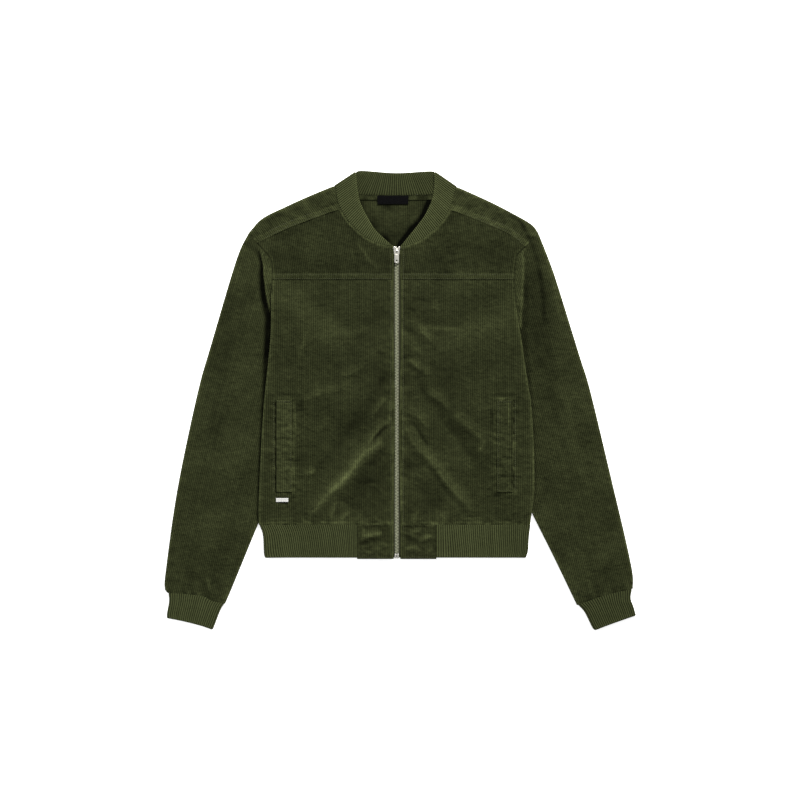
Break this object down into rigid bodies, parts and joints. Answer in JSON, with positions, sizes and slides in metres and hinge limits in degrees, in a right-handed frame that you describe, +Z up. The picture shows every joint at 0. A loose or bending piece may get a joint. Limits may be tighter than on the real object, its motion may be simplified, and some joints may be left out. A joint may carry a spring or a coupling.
{
  "type": "corduroy zip jacket, laid flat",
  "caption": "Short corduroy jacket with a full zip, welt pockets and rib-knit collar, cuffs and hem, closed and laid flat on its back.",
  "frame": {"origin": "on the surface the jacket lies on, under the middle of its outline", "axes": "+X to the viewer's right across the jacket, +Y from the hem to the collar, +Z up, away from the surface"},
  "size_m": [0.7295, 0.7118, 0.0105],
  "materials": {
    "corduroy": "fine olive corduroy, matt with a soft pile sheen",
    "rib_knit": "ribbed olive knit, matt",
    "zip_tape": "woven dark olive tape",
    "metal": "worn bright nickel",
    "label": "black satin weave, bare",
    "tag": "silver satin weave, bare"
  },
  "bodies": {
    "root": {"back": "corduroy", "shoulder_left": "corduroy", "shoulder_right": "corduroy", "front_upper_left": "corduroy", "front_upper_right": "corduroy", "front_lower_left": "corduroy", "front_lower_right": "corduroy", "hem_block_left": "corduroy", "hem_block_right": "corduroy", "sleeve_left": "corduroy", "sleeve_right": "corduroy", "welt_left": "corduroy", "welt_right": "corduroy", "neck_tape": "corduroy", "rib_collar": "rib_knit", "rib_cuff_left": "rib_knit", "rib_cuff_right": "rib_knit", "rib_hem": "rib_knit", "zip_tape_left": "zip_tape", "zip_tape_right": "zip_tape", "zip_chain": "metal", "zip_slider": "metal", "zip_end_left": "metal", "zip_end_right": "metal", "neck_label": "label", "side_tag": "tag"},
    "pull_tab": {"zip_pull": "metal"}
  },
  "joints": [
    {"name": "pull_tab_hinge", "type": "hinge", "parent": "root", "child": "pull_tab", "pos_m": [-0.006, 0.2315, 0.00805], "axis": [-1, 0, 0], "range_deg": [0, 170]}
  ]
}
